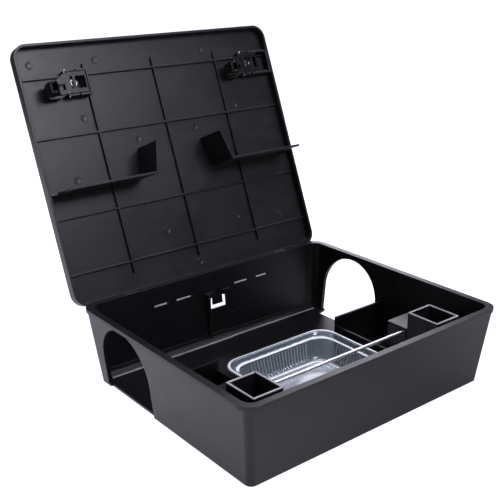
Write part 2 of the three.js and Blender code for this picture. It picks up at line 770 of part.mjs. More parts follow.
// the hook that drops into the post, drawn in the XZ plane
function noseProfile() {
  const round = 4;
  const shape = new THREE.Shape();
  shape.moveTo(LATCH_NOSE_X + LATCH_HOOK_LENGTH, LATCH_SLAB_TOP - 1);
  shape.lineTo(LATCH_NOSE_X + 1, LATCH_SLAB_TOP - 1);
  shape.lineTo(LATCH_NOSE_X, LATCH_SLAB_BOTTOM - 3);
  shape.lineTo(LATCH_NOSE_X, LATCH_NOSE_TIP + round);
  shape.absarc(LATCH_NOSE_X + round, LATCH_NOSE_TIP + round, round, Math.PI, 1.5 * Math.PI);
  shape.lineTo(LATCH_NOSE_X + LATCH_HOOK_LENGTH / 2, LATCH_NOSE_TIP + 1);
  shape.lineTo(LATCH_NOSE_X + LATCH_HOOK_LENGTH, LATCH_SLAB_BOTTOM);
  return shape;
}

// what is cut from the lever: a window for the spring, a scoop behind the
// hook, the hook's hollow, and room for the post's rear wall under the toe
function leverCutters() {
  const window = box(
    [LATCH_WINDOW_X[0], LATCH_WINDOW_Y[0], LATCH_SLAB_BOTTOM - 5],
    [LATCH_WINDOW_X[1], LATCH_WINDOW_Y[1], LATCH_SLAB_TOP + 5],
  );
  const scoop = box(
    [LATCH_SCOOP_X[0], LATCH_HOOK_FRONT_Y + LATCH_HOOK_WALL, LATCH_SLAB_BOTTOM - 1],
    [LATCH_SCOOP_X[1], LATCH_REAR_Y - LATCH_SCOOP_INSET, LATCH_SLAB_TOP - LATCH_SKIN],
  );
  const hollow = box(
    [LATCH_NOSE_X + LATCH_HOOK_WALL, LATCH_HOOK_FRONT_Y + LATCH_HOOK_WALL, LATCH_NOSE_TIP - 1],
    [LATCH_SCOOP_X[0] - 3, LATCH_HOOK_REAR_Y - LATCH_HOOK_WALL, LATCH_SLAB_TOP - LATCH_SKIN],
  );
  const relief = box(
    [LATCH_NOSE_X - 1, LATCH_HOOK_REAR_Y + GAP, LATCH_SLAB_BOTTOM - 1],
    [LATCH_SHOULDER_X, LATCH_TOE_REAR_Y + 1, LATCH_SLAB_BOTTOM + LATCH_TOE_RELIEF],
  );
  return [window, scoop, hollow, relief];
}

function makeLever(shift) {
  const slab = prismZ(leverOutline(), LATCH_SLAB_BOTTOM, LATCH_SLAB_TOP);
  const nose = prismY(noseProfile(), LATCH_HOOK_FRONT_Y, LATCH_HOOK_REAR_Y);
  const barrel = barAlongY(LATCH_FRONT_Y, LATCH_REAR_Y, LATCH_PIVOT_X, LATCH_PIVOT_Z, LATCH_BARREL_RADIUS);
  const seat = box(
    [SPRING_X - SPRING_SEAT_HALF, LATCH_WINDOW_Y[0] - 1, LATCH_SLAB_BOTTOM],
    [SPRING_X + SPRING_SEAT_HALF, LATCH_WINDOW_Y[1] + 1, LATCH_SLAB_BOTTOM + SPRING_SEAT_THICK],
  );
  const bore = barAlongY(
    LATCH_FRONT_Y - 1,
    LATCH_REAR_Y + 1,
    LATCH_PIVOT_X,
    LATCH_PIVOT_Z,
    LATCH_PIN_RADIUS + GAP,
  );
  const blank = cut(join(slab, barrel, nose), ...leverCutters());
  return cut(join(blank, seat), bore).translate([shift, 0, 0]);
}

// the coil stands on the plate and pushes the lever's tail away from it
function makeSpring(shift) {
  const z0 = LATCH_SLAB_BOTTOM + SPRING_SEAT_THICK + GAP + SPRING_WIRE;
  const z1 = LID_INNER - GAP - SPRING_WIRE;
  const steps = SPRING_TURNS * 12;
  const points = Array.from({ length: steps + 1 }, (_, i) => {
    const angle = (2 * Math.PI * SPRING_TURNS * i) / steps;
    return new THREE.Vector3(
      SPRING_X + shift + SPRING_RADIUS * Math.cos(angle),
      SPRING_Y + SPRING_RADIUS * Math.sin(angle),
      z0 + ((z1 - z0) * i) / steps,
    );
  });
  const wire = new THREE.Shape();
  wire.absarc(0, 0, SPRING_WIRE, 0, 2 * Math.PI);
  return toSolid(new THREE.ExtrudeGeometry(wire, {
    steps,
    curveSegments: 3,
    extrudePath: new THREE.CatmullRomCurve3(points),
  }));
}

// ---- assembly -----------------------------------------------------------------

const BLACK_PLASTIC = { color: 0x28282b, roughness: 0.62, metalness: 0 };
const GLOSS_PLASTIC = { color: 0x0d0d0f, roughness: 0.2, metalness: 0 };
const CLEAR_PLASTIC = { color: 0xc9dbe6, roughness: 0.15, metalness: 0, transparent: true, opacity: 0.4 };
const STEEL = { color: 0xc8c8cc, roughness: 0.25, metalness: 1 };

function piece(name, solid, finish, position = [0, 0, 0]) {
  const mesh = new THREE.Mesh(toGeometry(solid), new THREE.MeshStandardMaterial(finish));
  mesh.name = name;
  mesh.position.set(...position);
  return mesh;
}

function hingePin(name, x) {
  const reach = POCKET_HALF + BOSS_LENGTH - 0.5;
  return piece(name, barAlongX(-reach, reach, 0, 0, HINGE_PIN_RADIUS), STEEL, [x, HINGE_Y, HINGE_Z]);
}

const station = new THREE.Group();
station.add(
  piece('base_tub', makeTub(), BLACK_PLASTIC),
  piece('partition_left', makePartition(-1), BLACK_PLASTIC),
  piece('partition_right', makePartition(1), BLACK_PLASTIC),
  piece('lock_post_left', makePost(0), BLACK_PLASTIC),
  piece('lock_post_right', makePost(POST_PITCH), BLACK_PLASTIC),
  piece('rod_holder_left', makeRodHolder(0), BLACK_PLASTIC),
  piece('rod_holder_right', makeRodHolder(POST_PITCH), BLACK_PLASTIC),
  hingePin('hinge_pin_left', -HINGE_X),
  hingePin('hinge_pin_right', HINGE_X),
  piece('bait_tray', makeTray(), CLEAR_PLASTIC, [0, TRAY_CENTRE_Y, 0]),
  piece('bait_rod', makeRod(), STEEL, [ROD_LEFT + ROD_LENGTH / 2, ROD_Y, ROD_Z]),
);

const lid = new THREE.Group();
lid.position.set(0, HINGE_Y, HINGE_Z);
lid.rotation.x = -LID_OPEN;
lid.add(
  piece('lid_panel', makeLid(), BLACK_PLASTIC),
  piece('baffle_left', makeBaffle(-1), BLACK_PLASTIC),
  piece('baffle_right', makeBaffle(1), BLACK_PLASTIC),
);
['left', 'right'].forEach((side, index) => {
  const shift = index * LATCH_PITCH;
  lid.add(
    piece(`latch_bracket_${side}`, makeBracket(shift, BRACKET_ENDS_X[index]), BLACK_PLASTIC),
    piece(`latch_lever_${side}`, makeLever(shift), GLOSS_PLASTIC),
    piece(`latch_pin_${side}`, makeLatchPin(shift), STEEL),
    piece(`latch_spring_${side}`, makeSpring(shift), STEEL),
  );
});
station.add(lid);

export default station;
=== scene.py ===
"""Looks of the bait station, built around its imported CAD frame. Metres."""

import json
import math

import bmesh
import bpy
from mathutils import Matrix, Vector

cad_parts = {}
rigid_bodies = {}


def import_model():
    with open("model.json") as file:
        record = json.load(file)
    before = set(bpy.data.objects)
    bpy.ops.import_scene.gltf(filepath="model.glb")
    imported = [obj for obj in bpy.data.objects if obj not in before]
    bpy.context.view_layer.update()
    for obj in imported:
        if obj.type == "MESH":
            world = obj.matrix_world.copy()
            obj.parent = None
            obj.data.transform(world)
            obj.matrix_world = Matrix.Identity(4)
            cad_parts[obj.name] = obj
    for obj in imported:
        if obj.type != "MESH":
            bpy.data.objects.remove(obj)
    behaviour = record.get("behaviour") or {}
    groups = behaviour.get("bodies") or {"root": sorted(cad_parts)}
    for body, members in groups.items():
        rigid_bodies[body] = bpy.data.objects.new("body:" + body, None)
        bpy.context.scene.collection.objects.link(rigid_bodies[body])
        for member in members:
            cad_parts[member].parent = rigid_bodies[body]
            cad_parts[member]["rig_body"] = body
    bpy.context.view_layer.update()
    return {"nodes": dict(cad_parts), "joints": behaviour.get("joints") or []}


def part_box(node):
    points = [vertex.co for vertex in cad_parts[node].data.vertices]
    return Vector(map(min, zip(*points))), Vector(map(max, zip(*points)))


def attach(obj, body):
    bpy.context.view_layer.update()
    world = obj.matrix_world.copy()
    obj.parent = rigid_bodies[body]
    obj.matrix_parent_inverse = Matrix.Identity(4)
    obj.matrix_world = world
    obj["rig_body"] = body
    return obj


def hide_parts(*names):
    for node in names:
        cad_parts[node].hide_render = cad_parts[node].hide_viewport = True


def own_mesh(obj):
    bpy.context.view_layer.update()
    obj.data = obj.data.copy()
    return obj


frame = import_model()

NODES = frame["nodes"]
MM = 0.001

# ---- camera -------------------------------------------------------------------

# fitted to the photo by another script
CAMERA_PLACE = Vector((-489.532, -559.352, 396.668)) * MM
CAMERA_AHEAD = Vector((0.58559569, 0.73794741, -0.33542705))
CAMERA_RIGHT = Vector((0.78139506, -0.62397755, -0.00858917))
LENS = 62.197


def make_camera():
    data = bpy.data.cameras.new("camera")
    data.sensor_width = 36
    data.lens = LENS
    data.clip_start = 0.01
    data.clip_end = 50
    camera = bpy.data.objects.new("camera", data)
    bpy.context.scene.collection.objects.link(camera)
    up = CAMERA_RIGHT.cross(CAMERA_AHEAD).normalized()
    axes = Matrix((CAMERA_RIGHT, up, -CAMERA_AHEAD)).transposed()
    camera.matrix_world = Matrix.Translation(CAMERA_PLACE) @ axes.to_4x4()
    bpy.context.scene.camera = camera


# ---- materials ------------------------------------------------------------------

EDGE_SAMPLES = 4
SATIN_EDGE = 0.0008  # width of the edges that are rounded in shading only
GLOSS_EDGE_WIDTH = 0.0005


class Nodes:
    """A material's node tree, with short calls for what this file repeats."""

    def __init__(self, name):
        self.material = bpy.data.materials.new(name)
        self.material.use_nodes = True
        self.tree = self.material.node_tree
        self.shader = self.tree.nodes["Principled BSDF"]
        place = self.add("ShaderNodeTexCoord")
        self.place = place.outputs["Object"]

    def add(self, kind, **settings):
        node = self.tree.nodes.new(kind)
        for key, value in settings.items():
            setattr(node, key, value)
        return node

    def link(self, out, into):
        self.tree.links.new(out, into)

    def scaled(self, scale):
        node = self.add("ShaderNodeMapping")
        node.inputs["Scale"].default_value = scale
        self.link(self.place, node.inputs["Vector"])
        return node.outputs["Vector"]

    def noise(self, scale, detail=4, rough=0.55, distortion=0, at=None):
        node = self.add("ShaderNodeTexNoise")
        node.inputs["Scale"].default_value = scale
        node.inputs["Detail"].default_value = detail
        node.inputs["Roughness"].default_value = rough
        node.inputs["Distortion"].default_value = distortion
        self.link(at or self.place, node.inputs["Vector"])
        return node.outputs["Fac"]

    def spread(self, value, low, high, to_low=0, to_high=1):
        node = self.add("ShaderNodeMapRange")
        node.inputs["From Min"].default_value = low
        node.inputs["From Max"].default_value = high
        node.inputs["To Min"].default_value = to_low
        node.inputs["To Max"].default_value = to_high
        self.link(value, node.inputs["Value"])
        return node.outputs["Result"]

    def mix(self, share, first, second):
        node = self.add("ShaderNodeMix", data_type="RGBA")
        self.link(share, node.inputs["Factor"])
        for socket, value in ((node.inputs[6], first), (node.inputs[7], second)):
            if isinstance(value, tuple):
                socket.default_value = (*value, 1)
            else:
                self.link(value, socket)
        return node.outputs[2]

    def add_up(self, first, second, share=1.0):
        node = self.add("ShaderNodeMath", operation="MULTIPLY_ADD")
        self.link(second, node.inputs[0])
        node.inputs[1].default_value = share
        self.link(first, node.inputs[2])
        return node.outputs[0]

    def bump(self, height, distance, edge=0):
        """A fine relief. With an edge width, sharp edges are shaded as if rounded."""
        node = self.add("ShaderNodeBump")
        if edge:
            soft = self.add("ShaderNodeBevel", samples=EDGE_SAMPLES)
            soft.inputs["Radius"].default_value = edge
            self.link(soft.outputs["Normal"], node.inputs["Normal"])
        node.inputs["Distance"].default_value = distance
        self.link(height, node.inputs["Height"])
        self.link(node.outputs["Normal"], self.shader.inputs["Normal"])

    def set(self, **values):
        for key, value in values.items():
            self.shader.inputs[key.replace("_", " ")].default_value = value


def satin_plastic(name, dark, light, rough, grain=0.00004, shine=0.38):
    """Moulded black plastic: fine spark grain, soft flow marks, faint scuffs."""
    n = Nodes(name)
    flow = n.noise(16, 5, 0.6, 1.2, n.scaled((1, 1, 2.2)))
    speckle = n.noise(900, 2, 0.6)
    blotches = n.spread(n.noise(95, 3, 0.5, 0.8), 0.58, 0.68)
    tone = n.add_up(n.spread(flow, 0.3, 0.72), n.spread(speckle, 0.4, 0.7), 0.35)
    tone = n.add_up(tone, blotches, 0.5)
    n.link(n.mix(n.spread(tone, 0, 1.3), dark, light), n.shader.inputs["Base Color"])
    scratches = n.noise(60, 3, 0.7, 0.4, n.scaled((9, 0.6, 1.4)))
    worn = n.spread(scratches, 0.62, 0.7)
    roughness = n.add_up(n.spread(flow, 0.3, 0.7, rough - 0.03, rough + 0.05), worn, -0.05)
    n.link(roughness, n.shader.inputs["Roughness"])
    peel = n.noise(260, 2, 0.5)
    n.bump(n.add_up(n.noise(1500, 2, 0.6), peel, 1.2), grain, edge=SATIN_EDGE)
    n.set(IOR=1.5, Specular_IOR_Level=shine)
    return n.material


def gloss_plastic(name, low, high, ripple, shine):
    """Polished black plastic with a faint ripple, for the latch levers."""
    n = Nodes(name)
    flow = n.noise(55, 3, 0.5, 0.6)
    colour = n.mix(flow, (0.004, 0.004, 0.005), (0.009, 0.009, 0.01))
    n.link(colour, n.shader.inputs["Base Color"])
    n.link(n.spread(n.noise(320, 3), 0.35, 0.7, low, high), n.shader.inputs["Roughness"])
    n.bump(n.noise(240, 3, 0.5), ripple, edge=GLOSS_EDGE_WIDTH)
    n.set(IOR=1.52, Specular_IOR_Level=shine)
    return n.material


def clear_plastic(name, clear, deep, pale):
    """Thin formed plastic, faintly blue: clear, or paler and less clear, for the tray's milky
    floor or for painted highlights.
    """
    n = Nodes(name)
    cloud = n.noise(34, 4, 0.55, 0.8)
    n.link(n.mix(cloud, deep, pale), n.shader.inputs["Base Color"])
    n.link(n.spread(n.noise(150, 3), 0.3, 0.7, 0.05, 0.16), n.shader.inputs["Roughness"])
    n.bump(n.noise(130, 2, 0.5), 0.00003)
    n.set(IOR=1.49, Transmission_Weight=clear)
    return n.material


def steel(name, lengthwise, low=0.1, high=0.26):
    """Drawn wire: fine lines along its length."""
    n = Nodes(name)
    lines = n.noise(500, 3, 0.6, 0, n.scaled(lengthwise))
    stain = n.noise(70, 4, 0.6)
    n.link(n.mix(stain, (0.78, 0.78, 0.79), (0.93, 0.93, 0.94)), n.shader.inputs["Base Color"])
    roughness = n.spread(n.add_up(lines, stain, 0.4), 0.45, 0.95, low, high)
    n.link(roughness, n.shader.inputs["Roughness"])
    n.bump(lines, 0.00002)
    n.set(Metallic=1.0)
    return n.material


BLACK = satin_plastic("black_plastic", (0.0045, 0.0043, 0.005), (0.0085, 0.0081, 0.0092), 0.34)
# a darker, less shiny copy for the faces inside the tub and the partitions: painted shade
INNER_SHADE = satin_plastic(
    "black_plastic_inner_painted_shade", (0.002, 0.0019, 0.0024), (0.0042, 0.004, 0.0046), 0.4, shine=0.2
)
# narrow faces in lighter copies of the plastic, which paint highlights where they catch the light:
# the foot of the rear fillet, the rounded edges and the posts' top edges
FINE_GRAIN = 0.00002
# a light copy for the foot of the rear fillet: a painted highlight
COVE_HIGHLIGHT = satin_plastic(
    "black_plastic_cove_painted_highlight", (0.12, 0.118, 0.124), (0.26, 0.257, 0.266), 0.3, FINE_GRAIN, 0.9
)
# a lighter copy for the rounded edges: a painted highlight along them
EDGE_HIGHLIGHT = satin_plastic(
    "black_plastic_edge_painted_highlight", (0.014, 0.0137, 0.015), (0.032, 0.031, 0.034), 0.28, FINE_GRAIN, 0.7
)
# a near-white copy for the posts' top edges: a painted highlight
CROWN_HIGHLIGHT = satin_plastic(
    "black_plastic_crown_painted_highlight", (0.24, 0.24, 0.25), (0.48, 0.48, 0.5), 0.26, FINE_GRAIN, 0.9
)
GLOSS = gloss_plastic("gloss_black_plastic", 0.2, 0.34, 0.00008, 0.26)
GLOSS_EDGE = gloss_plastic("gloss_black_plastic_edge", 0.07, 0.16, 0.00004, 0.8)
CLEAR = clear_plastic("clear_plastic", 0.91, (0.58, 0.72, 0.82), (0.8, 0.89, 0.95))
# a paler copy: painted highlights on the flute crests, and the tray's milky floor
HAZY = clear_plastic("clear_plastic_hazy", 0.72, (0.74, 0.82, 0.88), (0.9, 0.95, 0.98))
# a near-white copy that paints highlights along the tray's rim beads and floor steps
WHITE_HIGHLIGHT = clear_plastic("clear_plastic_painted_highlight", 0.1, (0.84, 0.91, 0.96), (0.97, 0.99, 1.0))
ROD_STEEL = steel("steel_rod", (0.03, 1, 1), 0.26, 0.42)
PIN_STEEL = steel("steel_pins", (1, 1, 1))
SPRING_STEEL = steel("steel_springs", (1, 1, 1), 0.2, 0.38)

# ---- pieces ---------------------------------------------------------------------

TOP_BAND = 0.0001  # edges this close below a shape's top are at its top
CROWN_ANGLE = 0.5  # radians; edges sharper than this are rounded at a post's top and painted with a highlight
COVE_HIGHLIGHT_TILT = (0.94, 0.9995)  # how far up a face looks at the foot of the rear fillet, where a highlight is painted
INNER_SHADE_SLOT = 2
COVE_HIGHLIGHT_SLOT = 3
CROWN_HIGHLIGHT_SLOT = 2
EDGE_SEGMENTS = 3
EDGE_ANGLE = 28  # degrees


def new_object(name, mesh, *materials):
    piece = bpy.data.objects.new(name, mesh)
    bpy.context.scene.collection.objects.link(piece)
    for material in materials:
        mesh.materials.append(material)
    return piece


def settle(piece, body, slot, *nodes):
    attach(piece, body)
    if nodes:
        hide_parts(*nodes)
    return piece


def mark_crown(shape):
    """Mark the sharp edges at the very top of a shape."""
    top = max(vertex.co.z for vertex in shape.verts)
    weight = shape.edges.layers.float.new("bevel_weight_edge")
    for edge in shape.edges:
        level = min(vertex.co.z for vertex in edge.verts) > top - TOP_BAND
        if level and edge.calc_face_angle(0) > CROWN_ANGLE:
            edge[weight] = 1


def round_crown(piece, width):
    """Round the marked edges on their own, in the piece's third material, a near-white copy that
    paints a highlight along them.
    """
    bevel = piece.modifiers.new("rounded_crown", "BEVEL")
    bevel.width = width
    bevel.segments = 4
    bevel.limit_method = "WEIGHT"
    bevel.use_clamp_overlap = False
    bevel.material = CROWN_HIGHLIGHT_SLOT


def shade_inside(piece):
    """Give the faces that look at the middle of a tub its third material, a darker copy that
    paints shade inside it, and the foot of the fillet where a wall runs into its floor the fourth,
    a light copy that paints a highlight there."""
    corners = [Vector(corner) for corner in piece.bound_box]
    middle = sum(corners, Vector()) / len(corners)
    for polygon in piece.data.polygons:
        if polygon.normal.dot(middle - polygon.center) > 0:
            at_cove_highlight = COVE_HIGHLIGHT_TILT[0] < polygon.normal.z < COVE_HIGHLIGHT_TILT[1]
            polygon.material_index = COVE_HIGHLIGHT_SLOT if at_cove_highlight else INNER_SHADE_SLOT


def round_edges(piece, width, edge_material, clamp):
    """Round the sharp edges. The clamp narrows them where the mesh's edges are short."""
    for polygon in piece.data.polygons:
        polygon.use_smooth = True
    bevel = piece.modifiers.new("rounded_edges", "BEVEL")
    bevel.width = width
    bevel.segments = EDGE_SEGMENTS
    bevel.limit_method = "ANGLE"
    bevel.angle_limit = math.radians(EDGE_ANGLE)
    bevel.use_clamp_overlap = clamp
    # on the satin black pieces this slot holds a lighter copy of the plastic: a painted highlight
    # along the rounded edges
    bevel.material = edge_material
    flat = piece.modifiers.new("flat_faces", "WEIGHTED_NORMAL")
    flat.mode = "FACE_AREA"
    flat.weight = 100
    flat.keep_sharp = False


def moulded(node, width, slot="black_plastic", materials=(BLACK, EDGE_HIGHLIGHT), crown=0, inside=False):
    """A CAD node's solid as a cleaned mesh whose edges are rounded, standing for the node."""
    mesh = NODES[node].data.copy()
    mesh.name = node + "_moulded"
    mesh.materials.clear()
    shape = bmesh.new()
    shape.from_mesh(mesh)
    bmesh.ops.remove_doubles(shape, verts=shape.verts, dist=2e-6)
    bmesh.ops.recalc_face_normals(shape, faces=shape.faces)
    for face in shape.faces:
        face.material_index = 0
    if crown:
        mark_crown(shape)
    shape.to_mesh(mesh)
    shape.free()
    piece = new_object(node + "_moulded", mesh, *materials)
    if inside:
        shade_inside(piece)
    if crown:
        round_crown(piece, crown)
    round_edges(piece, width, min(1, len(materials) - 1), not crown)
    return settle(piece, NODES[node]["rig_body"], slot, node)


def ring_mesh(name, rings, closed_start=False, closed_end=False):
    """A skin over rings of points that all have the same count."""
    shape = bmesh.new()
    made = [[shape.verts.new(p) for p in ring] for ring in rings]
    count = len(rings[0])
    for first, second in zip(made, made[1:]):
        for i in range(count):
            j = (i + 1) % count
            shape.faces.new((first[i], first[j], second[j], second[i]))
    if closed_start:
        shape.faces.new(list(reversed(made[0])))
    if closed_end:
        shape.faces.new(made[-1])
    bmesh.ops.recalc_face_normals(shape, faces=shape.faces)
    mesh = bpy.data.meshes.new(name)
    shape.to_mesh(mesh)
    shape.free()
    for polygon in mesh.polygons:
        polygon.use_smooth = True
    return mesh


# ---- tub and its fixed parts -------------------------------------------------------

# the tub's inner faces take a darker copy (painted shade); the foot of its rear fillet and its
# rounded edges take lighter copies (painted highlights)
moulded("base_tub", 0.0007, materials=(BLACK, EDGE_HIGHLIGHT, INNER_SHADE, COVE_HIGHLIGHT), inside=True)
for side in ("left", "right"):
    # the partitions stand inside the tub and take the darker copy all over: painted shade
    moulded("partition_" + side, 0.0005, materials=(INNER_SHADE, EDGE_HIGHLIGHT))
    # the posts' top edges take the near-white copy: a painted highlight
    moulded("lock_post_" + side, 0.0006, materials=(BLACK, EDGE_HIGHLIGHT, CROWN_HIGHLIGHT), crown=0.0009)
    moulded("rod_holder_" + side, 0.0005)
    moulded("hinge_pin_" + side, 0.0002, "steel", (PIN_STEEL,))

# ---- lid ------------------------------------------------------------------------

moulded("lid_panel", 0.0005)
for side in ("left", "right"):
    moulded("baffle_" + side, 0.0005)
    moulded("latch_bracket_" + side, 0.0004)
    moulded("latch_lever_" + side, 0.0006, "gloss_black_plastic", (GLOSS, GLOSS_EDGE))
    moulded("latch_pin_" + side, 0.0002, "steel", (PIN_STEEL,))


# ---- tray -----------------------------------------------------------------------

TRAY_LOW, TRAY_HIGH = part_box("bait_tray")
TRAY_HALF = (TRAY_HIGH.x - TRAY_LOW.x) / 2
TRAY_X = (TRAY_HIGH.x + TRAY_LOW.x) / 2
TRAY_Y = (TRAY_HIGH.y + TRAY_LOW.y) / 2
CORNER_STEPS = 14
FLUTE_STEPS = 8
FLUTES = 21
SIDE_STEPS = FLUTES * FLUTE_STEPS
CREST_HIGHLIGHT = 0.82  # a flute's crest takes the hazy copy, a painted highlight, where its wave is above this
FLUTED_SHARE = 0.9  # the flutes end at this share of a side
FLUTE_FADE = 0.06
TRAY_CORNER = 0.018
TRAY_CLEARANCE = 0.0008  # keeps the skin off the tub's floor
TRAY_SKIN = 0.0006


def rounded_square(half, radius):
    """Points round a square with rounded corners: each point, its outward normal, its
    distance from the middle of its side as a share of the straight part, and the
    height of the flute wave there, from 0 to 1."""
    points = []
    straight = half - radius
    for k in range(4):
        turn = Matrix.Rotation(k * math.pi / 2, 2)
        for i in range(SIDE_STEPS):
            share = 2 * i / SIDE_STEPS - 1
            wave = abs(math.sin(math.pi * i / FLUTE_STEPS)) ** 0.8
            place = turn @ Vector((half, straight * share))
            points.append((place, turn @ Vector((1, 0)), abs(share), wave))
        for i in range(CORNER_STEPS):
            a = math.pi / 2 * i / CORNER_STEPS
            normal = Vector((math.cos(a), math.sin(a)))
            corner = Vector((straight, straight))
            points.append((turn @ (corner + normal * radius), turn @ normal, 1, 0))
    return points


def tray_ring(half, radius, z, flute=0.0):
    ring = []
    for point, normal, share, wave in rounded_square(half, radius):
        fade = max(0.0, min(1.0, (FLUTED_SHARE - share) / FLUTE_FADE))
        p = point + normal * flute * fade * (wave - 0.5)
        ring.append(Vector((TRAY_X + p.x, TRAY_Y + p.y, z)))
    return ring


def make_tray():
    top = TRAY_HIGH.z
    foot = TRAY_LOW.z + TRAY_CLEARANCE
    half = TRAY_HALF
    r = TRAY_CORNER
    # each row is how far in from the rim, corner radius, height, flute depth and the
    # finish of the plastic from there to the next row. The "white" rows paint highlights
    # along the rim's beads and the floor's steps; in the "crests" rows the flute crests
    # are painted as highlights in the hazy copy.
    profile = [
        (0.0004, r, top - 0.0030, 0, "white"),
        (0.0001, r, top - 0.0012, 0, "white"),
        (0.0006, r, top - 0.0002, 0, "white"),
        (0.0013, r, top, 0, "white"),
        (0.0021, r, top - 0.0001, 0, "clear"),
        (0.0036, r - 0.001, top - 0.0001, 0, "clear"),
        (0.0043, r - 0.001, top - 0.0006, 0, "clear"),
        (0.0048, r - 0.001, top - 0.0036, 0, "clear"),
        (0.0054, r - 0.001, top - 0.0042, 0, "clear"),
        (0.0064, r - 0.002, top - 0.0043, 0, "white"),
        (0.0076, r - 0.002, top - 0.0043, 0, "white"),
        (0.0085, r - 0.002, top - 0.0050, 0, "clear"),
        (0.0090, r - 0.002, top - 0.0060, 0, "crests"),
        (0.0094, r - 0.002, top - 0.0072, 0.0012, "crests"),
        (0.0104, r - 0.003, top - 0.0110, 0.0016, "crests"),
        (0.0118, r - 0.003, top - 0.0165, 0.0016, "crests"),
        (0.0128, r - 0.004, top - 0.0205, 0.0014, "crests"),
        (0.0135, r - 0.004, foot + 0.0032, 0.0010, "clear"),
        (0.0150, r - 0.004, foot + 0.0012, 0, "hazy"),
        (0.0166, r - 0.005, foot + 0.0003, 0, "white"),
        (0.0176, r - 0.006, foot, 0, "hazy"),
        (0.0240, r - 0.007, foot, 0, "hazy"),
        (0.0248, r - 0.007, foot + 0.0003, 0, "white"),
        (0.0256, r - 0.007, foot + 0.0018, 0, "white"),
        (0.0264, r - 0.007, foot + 0.0020, 0, "hazy"),
        (0.0300, r - 0.008, foot + 0.0020, 0, "hazy"),
    ]
    rings = [tray_ring(half - inset, radius, z, flute) for inset, radius, z, flute, _ in profile]
    middle = Vector((TRAY_X, TRAY_Y, foot + 0.0020))
    rings.append([middle.lerp(point, 0.3) for point in rings[-1]])
    mesh = ring_mesh("bait_tray_formed", rings, closed_end=True)
    piece = new_object("bait_tray_formed", mesh, CLEAR, HAZY, WHITE_HIGHLIGHT)
    outline = rounded_square(half, r)
    waves = [wave if share < FLUTED_SHARE else 0 for _, _, share, wave in outline]
    count = len(waves)
    for index, polygon in enumerate(mesh.polygons):
        row, i = divmod(index, count)
        finish = profile[row][4] if row < len(profile) else "hazy"
        # the flute crests and the "white" rows are painted highlights
        crest_highlight = finish == "crests" and min(waves[i], waves[(i + 1) % count]) > CREST_HIGHLIGHT
        polygon.material_index = 2 if finish == "white" else int(finish == "hazy" or crest_highlight)
    skin = piece.modifiers.new("thickness", "SOLIDIFY")
    skin.thickness = TRAY_SKIN
    skin.offset = -1
    settle(piece, "tray", "clear_plastic", "bait_tray")


make_tray()

# ---- rod ------------------------------------------------------------------------


ROD_SIDES = 40


def make_rod():
    """A round bar with slightly eased ends."""
    low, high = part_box("bait_rod")
    y, z = (low.y + high.y) / 2, (low.z + high.z) / 2
    radius = (high.z - low.z) / 2
    stations = [(low.x, 0.5), (low.x + 0.0001, 0.75), (low.x + 0.0004, 1)]
    stations += [(low.x + 0.01 + (high.x - low.x - 0.02) * i / 12, 1) for i in range(13)]
    stations += [(high.x - 0.0004, 1), (high.x - 0.0001, 0.75), (high.x, 0.5)]
    rings = []
    for x, share in stations:
        ring = []
        for i in range(ROD_SIDES):
            a = 2 * math.pi * i / ROD_SIDES
            reach = radius * share
            ring.append(Vector((x, y + reach * math.cos(a), z + reach * math.sin(a))))
        rings.append(ring)
    piece = new_object("bait_rod_drawn", ring_mesh("bait_rod_drawn", rings, True, True), ROD_STEEL)
    settle(piece, "rod", "steel", "bait_rod")


make_rod()

# ---- pieces on the open lid --------------------------------------------------------

HINGE = next(j for j in frame["joints"] if j["name"] == "lid_hinge")
LID_OPEN = math.radians(HINGE["range_deg"][1])
LID_PLACE = Matrix.Translation(Vector(HINGE["pos_m"])) @ Matrix.Rotation(-LID_OPEN, 4, "X")


SPRING_WIRE = 0.00055  # radius
SPRING_TURNS = 7.5
STEPS_PER_TURN = 28
WIRE_SIDES = 8


def make_spring(side):
    """A coil on the lid, its wire swept along a helix in the shut lid's axes."""
    node = "latch_spring_" + side
    back = LID_PLACE.inverted()
    points = [back @ v.co for v in NODES[node].data.vertices]
    low = Vector(min(p[k] for p in points) for k in range(3))
    high = Vector(max(p[k] for p in points) for k in range(3))
    wire = SPRING_WIRE
    radius = (high.x - low.x) / 2 - wire
    centre = (low + high) / 2
    turns = SPRING_TURNS
    steps = int(turns * STEPS_PER_TURN)
    rings = []
    for i in range(steps + 1):
        share = i / steps
        a = 2 * math.pi * turns * share
        eased = min(1, max(0, (share * turns - 0.8) / (turns - 1.6)))
        z = low.z + wire + (high.z - low.z - 2 * wire) * (0.06 * share + 0.94 * eased)
        middle = Vector((centre.x + radius * math.cos(a), centre.y + radius * math.sin(a), z))
        outward = Vector((math.cos(a), math.sin(a), 0))
        ring = []
        for k in range(WIRE_SIDES):
            b = 2 * math.pi * k / WIRE_SIDES
            offset = outward * math.cos(b) + Vector((0, 0, math.sin(b)))
            ring.append(LID_PLACE @ (middle + wire * offset))
        rings.append(ring)
    piece = new_object(node + "_coil", ring_mesh(node + "_coil", rings, True, True), SPRING_STEEL)
    settle(piece, "lid", "steel", node)
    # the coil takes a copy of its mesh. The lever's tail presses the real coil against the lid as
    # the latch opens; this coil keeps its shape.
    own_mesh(piece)


for side in ("left", "right"):
    make_spring(side)

# shallow round marks that the mould's ejector pins left on the lid's inner face:
# place along the hinge and distance from the hinge side, in millimetres. The first seven
# rows are another script's output, from places read off the photo. The rest are guesses.
EJECTOR_MARKS = [
    (-134.7, 242.5),
    (-64.5, 242.0),
    (-91.3, 185.9),
    (-37.1, 157.7),
    (34.0, 160.0),
    (92.4, 177.6),
    (-114.3, 127.3),
    (112.0, 110.0),
    (-30.0, 60.0),
    (60.0, 58.0),
    (118.0, 48.0),
    (64.5, 242.0),
    (0.0, 20.0),
]
LID_INNER_Z = 12.1
LID_HEEL_Y = 6.67
MARK_SIDES = 28
